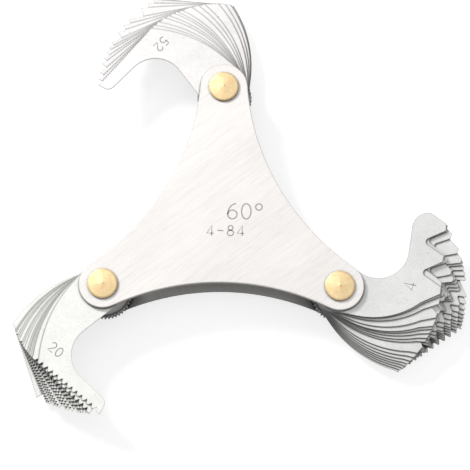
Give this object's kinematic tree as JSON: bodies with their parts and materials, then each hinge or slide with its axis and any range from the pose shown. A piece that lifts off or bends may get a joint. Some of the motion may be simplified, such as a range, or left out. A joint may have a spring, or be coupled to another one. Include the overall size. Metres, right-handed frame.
{
  "type": "thread pitch gauge",
  "caption": "Screw pitch gauge: three stacks of toothed steel leaves hinged on brass posts between two three-lobed plates, fanned out from the frame.",
  "frame": {"origin": "outer face of the back plate, midway between the three pivots", "axes": "+Z out of the front plate, along the pivots; +Y towards the top pivot; +X towards the side of the coarse leaves"},
  "size_m": [0.0915, 0.0881, 0.0121],
  "materials": {
    "front_plate_metal": "satin plate, finely brushed on the diagonal",
    "back_plate_metal": "satin plate",
    "pivot_brass": "turned, bright",
    "lock_nut_steel": "knurled",
    "top_leaf_steel": "satin, ground",
    "left_leaf_steel": "satin, ground",
    "right_leaf_steel": "satin, ground"
  },
  "bodies": {
    "frame": {"back_plate": "back_plate_metal", "front_plate": "front_plate_metal", "right_pivot_post": "pivot_brass", "left_pivot_post": "pivot_brass", "top_pivot_post": "pivot_brass"},
    "right_lock_nut": {"right_lock_nut": "lock_nut_steel"},
    "leaf_4_tpi": {"leaf_4_tpi": "right_leaf_steel"},
    "leaf_4_5_tpi": {"leaf_4_5_tpi": "right_leaf_steel"},
    "leaf_5_tpi": {"leaf_5_tpi": "right_leaf_steel"},
    "leaf_5_5_tpi": {"leaf_5_5_tpi": "right_leaf_steel"},
    "leaf_6_tpi": {"leaf_6_tpi": "right_leaf_steel"},
    "leaf_7_tpi": {"leaf_7_tpi": "right_leaf_steel"},
    "leaf_8_tpi": {"leaf_8_tpi": "right_leaf_steel"},
    "leaf_9_tpi": {"leaf_9_tpi": "right_leaf_steel"},
    "leaf_10_tpi": {"leaf_10_tpi": "right_leaf_steel"},
    "leaf_11_tpi": {"leaf_11_tpi": "right_leaf_steel"},
    "leaf_11_5_tpi": {"leaf_11_5_tpi": "right_leaf_steel"},
    "leaf_12_tpi": {"leaf_12_tpi": "right_leaf_steel"},
    "leaf_13_tpi": {"leaf_13_tpi": "right_leaf_steel"},
    "leaf_14_tpi": {"leaf_14_tpi": "right_leaf_steel"},
    "leaf_15_tpi": {"leaf_15_tpi": "right_leaf_steel"},
    "leaf_16_tpi": {"leaf_16_tpi": "right_leaf_steel"},
    "leaf_18_tpi": {"leaf_18_tpi": "right_leaf_steel"},
    "left_lock_nut": {"left_lock_nut": "lock_nut_steel"},
    "leaf_20_tpi": {"leaf_20_tpi": "left_leaf_steel"},
    "leaf_22_tpi": {"leaf_22_tpi": "left_leaf_steel"},
    "leaf_24_tpi": {"leaf_24_tpi": "left_leaf_steel"},
    "leaf_26_tpi": {"leaf_26_tpi": "left_leaf_steel"},
    "leaf_27_tpi": {"leaf_27_tpi": "left_leaf_steel"},
    "leaf_28_tpi": {"leaf_28_tpi": "left_leaf_steel"},
    "leaf_30_tpi": {"leaf_30_tpi": "left_leaf_steel"},
    "leaf_32_tpi": {"leaf_32_tpi": "left_leaf_steel"},
    "leaf_34_tpi": {"leaf_34_tpi": "left_leaf_steel"},
    "leaf_36_tpi": {"leaf_36_tpi": "left_leaf_steel"},
    "leaf_38_tpi": {"leaf_38_tpi": "left_leaf_steel"},
    "leaf_40_tpi": {"leaf_40_tpi": "left_leaf_steel"},
    "leaf_42_tpi": {"leaf_42_tpi": "left_leaf_steel"},
    "leaf_44_tpi": {"leaf_44_tpi": "left_leaf_steel"},
    "leaf_46_tpi": {"leaf_46_tpi": "left_leaf_steel"},
    "leaf_48_tpi": {"leaf_48_tpi": "left_leaf_steel"},
    "leaf_50_tpi": {"leaf_50_tpi": "left_leaf_steel"},
    "top_lock_nut": {"top_lock_nut": "lock_nut_steel"},
    "leaf_52_tpi": {"leaf_52_tpi": "top_leaf_steel"},
    "leaf_54_tpi": {"leaf_54_tpi": "top_leaf_steel"},
    "leaf_56_tpi": {"leaf_56_tpi": "top_leaf_steel"},
    "leaf_58_tpi": {"leaf_58_tpi": "top_leaf_steel"},
    "leaf_60_tpi": {"leaf_60_tpi": "top_leaf_steel"},
    "leaf_62_tpi": {"leaf_62_tpi": "top_leaf_steel"},
    "leaf_64_tpi": {"leaf_64_tpi": "top_leaf_steel"},
    "leaf_66_tpi": {"leaf_66_tpi": "top_leaf_steel"},
    "leaf_68_tpi": {"leaf_68_tpi": "top_leaf_steel"},
    "leaf_70_tpi": {"leaf_70_tpi": "top_leaf_steel"},
    "leaf_72_tpi": {"leaf_72_tpi": "top_leaf_steel"},
    "leaf_74_tpi": {"leaf_74_tpi": "top_leaf_steel"},
    "leaf_76_tpi": {"leaf_76_tpi": "top_leaf_steel"},
    "leaf_78_tpi": {"leaf_78_tpi": "top_leaf_steel"},
    "leaf_80_tpi": {"leaf_80_tpi": "top_leaf_steel"},
    "leaf_82_tpi": {"leaf_82_tpi": "top_leaf_steel"},
    "leaf_84_tpi": {"leaf_84_tpi": "top_leaf_steel"}
  },
  "joints": [
    {"name": "right_nut_turn", "type": "hinge", "parent": "frame", "child": "right_lock_nut", "pos_m": [0.0236, -0.01362, 0.0021], "axis": [0, 0, 1], "range_deg": [0, 180]},
    {"name": "hinge_4_tpi", "type": "hinge", "parent": "frame", "child": "leaf_4_tpi", "pos_m": [0.0236, -0.01362, 0.0097], "axis": [0, 0, 1], "range_deg": [-55, 145]},
    {"name": "hinge_4_5_tpi", "type": "hinge", "parent": "frame", "child": "leaf_4_5_tpi", "pos_m": [0.0236, -0.01362, 0.0093], "axis": [0, 0, 1], "range_deg": [-54.5, 145.5]},
    {"name": "hinge_5_tpi", "type": "hinge", "parent": "frame", "child": "leaf_5_tpi", "pos_m": [0.0236, -0.01362, 0.0089], "axis": [0, 0, 1], "range_deg": [-51, 149]},
    {"name": "hinge_5_5_tpi", "type": "hinge", "parent": "frame", "child": "leaf_5_5_tpi", "pos_m": [0.0236, -0.01362, 0.0085], "axis": [0, 0, 1], "range_deg": [-43.5, 156.5]},
    {"name": "hinge_6_tpi", "type": "hinge", "parent": "frame", "child": "leaf_6_tpi", "pos_m": [0.0236, -0.01362, 0.0081], "axis": [0, 0, 1], "range_deg": [-39, 161]},
    {"name": "hinge_7_tpi", "type": "hinge", "parent": "frame", "child": "leaf_7_tpi", "pos_m": [0.0236, -0.01362, 0.0077], "axis": [0, 0, 1], "range_deg": [-38, 162]},
    {"name": "hinge_8_tpi", "type": "hinge", "parent": "frame", "child": "leaf_8_tpi", "pos_m": [0.0236, -0.01362, 0.0073], "axis": [0, 0, 1], "range_deg": [-36, 164]},
    {"name": "hinge_9_tpi", "type": "hinge", "parent": "frame", "child": "leaf_9_tpi", "pos_m": [0.0236, -0.01362, 0.0069], "axis": [0, 0, 1], "range_deg": [-33.5, 166.5]},
    {"name": "hinge_10_tpi", "type": "hinge", "parent": "frame", "child": "leaf_10_tpi", "pos_m": [0.0236, -0.01362, 0.0065], "axis": [0, 0, 1], "range_deg": [-31.5, 168.5]},
    {"name": "hinge_11_tpi", "type": "hinge", "parent": "frame", "child": "leaf_11_tpi", "pos_m": [0.0236, -0.01362, 0.0061], "axis": [0, 0, 1], "range_deg": [-24, 176]},
    {"name": "hinge_11_5_tpi", "type": "hinge", "parent": "frame", "child": "leaf_11_5_tpi", "pos_m": [0.0236, -0.01362, 0.0057], "axis": [0, 0, 1], "range_deg": [-21, 179]},
    {"name": "hinge_12_tpi", "type": "hinge", "parent": "frame", "child": "leaf_12_tpi", "pos_m": [0.0236, -0.01362, 0.0053], "axis": [0, 0, 1], "range_deg": [-18.5, 181.5]},
    {"name": "hinge_13_tpi", "type": "hinge", "parent": "frame", "child": "leaf_13_tpi", "pos_m": [0.0236, -0.01362, 0.0049], "axis": [0, 0, 1], "range_deg": [-16.5, 183.5]},
    {"name": "hinge_14_tpi", "type": "hinge", "parent": "frame", "child": "leaf_14_tpi", "pos_m": [0.0236, -0.01362, 0.0045], "axis": [0, 0, 1], "range_deg": [-15, 185]},
    {"name": "hinge_15_tpi", "type": "hinge", "parent": "frame", "child": "leaf_15_tpi", "pos_m": [0.0236, -0.01362, 0.0041], "axis": [0, 0, 1], "range_deg": [-13.5, 186.5]},
    {"name": "hinge_16_tpi", "type": "hinge", "parent": "frame", "child": "leaf_16_tpi", "pos_m": [0.0236, -0.01362, 0.0037], "axis": [0, 0, 1], "range_deg": [-12, 188]},
    {"name": "hinge_18_tpi", "type": "hinge", "parent": "frame", "child": "leaf_18_tpi", "pos_m": [0.0236, -0.01362, 0.0033], "axis": [0, 0, 1], "range_deg": [-10.5, 189.5]},
    {"name": "left_nut_turn", "type": "hinge", "parent": "frame", "child": "left_lock_nut", "pos_m": [-0.0236, -0.01362, 0.0021], "axis": [0, 0, 1], "range_deg": [0, 180]},
    {"name": "hinge_20_tpi", "type": "hinge", "parent": "frame", "child": "leaf_20_tpi", "pos_m": [-0.0236, -0.01362, 0.0097], "axis": [0, 0, 1], "range_deg": [-57, 143]},
    {"name": "hinge_22_tpi", "type": "hinge", "parent": "frame", "child": "leaf_22_tpi", "pos_m": [-0.0236, -0.01362, 0.0093], "axis": [0, 0, 1], "range_deg": [-52.5, 147.5]},
    {"name": "hinge_24_tpi", "type": "hinge", "parent": "frame", "child": "leaf_24_tpi", "pos_m": [-0.0236, -0.01362, 0.0089], "axis": [0, 0, 1], "range_deg": [-52, 148]},
    {"name": "hinge_26_tpi", "type": "hinge", "parent": "frame", "child": "leaf_26_tpi", "pos_m": [-0.0236, -0.01362, 0.0085], "axis": [0, 0, 1], "range_deg": [-50.5, 149.5]},
    {"name": "hinge_27_tpi", "type": "hinge", "parent": "frame", "child": "leaf_27_tpi", "pos_m": [-0.0236, -0.01362, 0.0081], "axis": [0, 0, 1], "range_deg": [-49, 151]},
    {"name": "hinge_28_tpi", "type": "hinge", "parent": "frame", "child": "leaf_28_tpi", "pos_m": [-0.0236, -0.01362, 0.0077], "axis": [0, 0, 1], "range_deg": [-48, 152]},
    {"name": "hinge_30_tpi", "type": "hinge", "parent": "frame", "child": "leaf_30_tpi", "pos_m": [-0.0236, -0.01362, 0.0073], "axis": [0, 0, 1], "range_deg": [-46.5, 153.5]},
    {"name": "hinge_32_tpi", "type": "hinge", "parent": "frame", "child": "leaf_32_tpi", "pos_m": [-0.0236, -0.01362, 0.0069], "axis": [0, 0, 1], "range_deg": [-44, 156]},
    {"name": "hinge_34_tpi", "type": "hinge", "parent": "frame", "child": "leaf_34_tpi", "pos_m": [-0.0236, -0.01362, 0.0065], "axis": [0, 0, 1], "range_deg": [-42, 158]},
    {"name": "hinge_36_tpi", "type": "hinge", "parent": "frame", "child": "leaf_36_tpi", "pos_m": [-0.0236, -0.01362, 0.0061], "axis": [0, 0, 1], "range_deg": [-40.5, 159.5]},
    {"name": "hinge_38_tpi", "type": "hinge", "parent": "frame", "child": "leaf_38_tpi", "pos_m": [-0.0236, -0.01362, 0.0057], "axis": [0, 0, 1], "range_deg": [-37.5, 162.5]},
    {"name": "hinge_40_tpi", "type": "hinge", "parent": "frame", "child": "leaf_40_tpi", "pos_m": [-0.0236, -0.01362, 0.0053], "axis": [0, 0, 1], "range_deg": [-36, 164]},
    {"name": "hinge_42_tpi", "type": "hinge", "parent": "frame", "child": "leaf_42_tpi", "pos_m": [-0.0236, -0.01362, 0.0049], "axis": [0, 0, 1], "range_deg": [-34.5, 165.5]},
    {"name": "hinge_44_tpi", "type": "hinge", "parent": "frame", "child": "leaf_44_tpi", "pos_m": [-0.0236, -0.01362, 0.0045], "axis": [0, 0, 1], "range_deg": [-32.5, 167.5]},
    {"name": "hinge_46_tpi", "type": "hinge", "parent": "frame", "child": "leaf_46_tpi", "pos_m": [-0.0236, -0.01362, 0.0041], "axis": [0, 0, 1], "range_deg": [-31.5, 168.5]},
    {"name": "hinge_48_tpi", "type": "hinge", "parent": "frame", "child": "leaf_48_tpi", "pos_m": [-0.0236, -0.01362, 0.0037], "axis": [0, 0, 1], "range_deg": [-30.5, 169.5]},
    {"name": "hinge_50_tpi", "type": "hinge", "parent": "frame", "child": "leaf_50_tpi", "pos_m": [-0.0236, -0.01362, 0.0033], "axis": [0, 0, 1], "range_deg": [-25.5, 174.5]},
    {"name": "top_nut_turn", "type": "hinge", "parent": "frame", "child": "top_lock_nut", "pos_m": [0, 0.02725, 0.0021], "axis": [0, 0, 1], "range_deg": [0, 180]},
    {"name": "hinge_52_tpi", "type": "hinge", "parent": "frame", "child": "leaf_52_tpi", "pos_m": [0, 0.02725, 0.0097], "axis": [0, 0, 1], "range_deg": [-85.5, 114.5]},
    {"name": "hinge_54_tpi", "type": "hinge", "parent": "frame", "child": "leaf_54_tpi", "pos_m": [0, 0.02725, 0.0093], "axis": [0, 0, 1], "range_deg": [-82.5, 117.5]},
    {"name": "hinge_56_tpi", "type": "hinge", "parent": "frame", "child": "leaf_56_tpi", "pos_m": [0, 0.02725, 0.0089], "axis": [0, 0, 1], "range_deg": [-79, 121]},
    {"name": "hinge_58_tpi", "type": "hinge", "parent": "frame", "child": "leaf_58_tpi", "pos_m": [0, 0.02725, 0.0085], "axis": [0, 0, 1], "range_deg": [-74.5, 125.5]},
    {"name": "hinge_60_tpi", "type": "hinge", "parent": "frame", "child": "leaf_60_tpi", "pos_m": [0, 0.02725, 0.0081], "axis": [0, 0, 1], "range_deg": [-71.5, 128.5]},
    {"name": "hinge_62_tpi", "type": "hinge", "parent": "frame", "child": "leaf_62_tpi", "pos_m": [0, 0.02725, 0.0077], "axis": [0, 0, 1], "range_deg": [-68, 132]},
    {"name": "hinge_64_tpi", "type": "hinge", "parent": "frame", "child": "leaf_64_tpi", "pos_m": [0, 0.02725, 0.0073], "axis": [0, 0, 1], "range_deg": [-65.5, 134.5]},
    {"name": "hinge_66_tpi", "type": "hinge", "parent": "frame", "child": "leaf_66_tpi", "pos_m": [0, 0.02725, 0.0069], "axis": [0, 0, 1], "range_deg": [-62.5, 137.5]},
    {"name": "hinge_68_tpi", "type": "hinge", "parent": "frame", "child": "leaf_68_tpi", "pos_m": [0, 0.02725, 0.0065], "axis": [0, 0, 1], "range_deg": [-56.5, 143.5]},
    {"name": "hinge_70_tpi", "type": "hinge", "parent": "frame", "child": "leaf_70_tpi", "pos_m": [0, 0.02725, 0.0061], "axis": [0, 0, 1], "range_deg": [-52, 148]},
    {"name": "hinge_72_tpi", "type": "hinge", "parent": "frame", "child": "leaf_72_tpi", "pos_m": [0, 0.02725, 0.0057], "axis": [0, 0, 1], "range_deg": [-48, 152]},
    {"name": "hinge_74_tpi", "type": "hinge", "parent": "frame", "child": "leaf_74_tpi", "pos_m": [0, 0.02725, 0.0053], "axis": [0, 0, 1], "range_deg": [-40, 160]},
    {"name": "hinge_76_tpi", "type": "hinge", "parent": "frame", "child": "leaf_76_tpi", "pos_m": [0, 0.02725, 0.0049], "axis": [0, 0, 1], "range_deg": [-36, 164]},
    {"name": "hinge_78_tpi", "type": "hinge", "parent": "frame", "child": "leaf_78_tpi", "pos_m": [0, 0.02725, 0.0045], "axis": [0, 0, 1], "range_deg": [-32.5, 167.5]},
    {"name": "hinge_80_tpi", "type": "hinge", "parent": "frame", "child": "leaf_80_tpi", "pos_m": [0, 0.02725, 0.0041], "axis": [0, 0, 1], "range_deg": [-31.5, 168.5]},
    {"name": "hinge_82_tpi", "type": "hinge", "parent": "frame", "child": "leaf_82_tpi", "pos_m": [0, 0.02725, 0.0037], "axis": [0, 0, 1], "range_deg": [-30.5, 169.5]},
    {"name": "hinge_84_tpi", "type": "hinge", "parent": "frame", "child": "leaf_84_tpi", "pos_m": [0, 0.02725, 0.0033], "axis": [0, 0, 1], "range_deg": [-30, 170]}
  ]
}
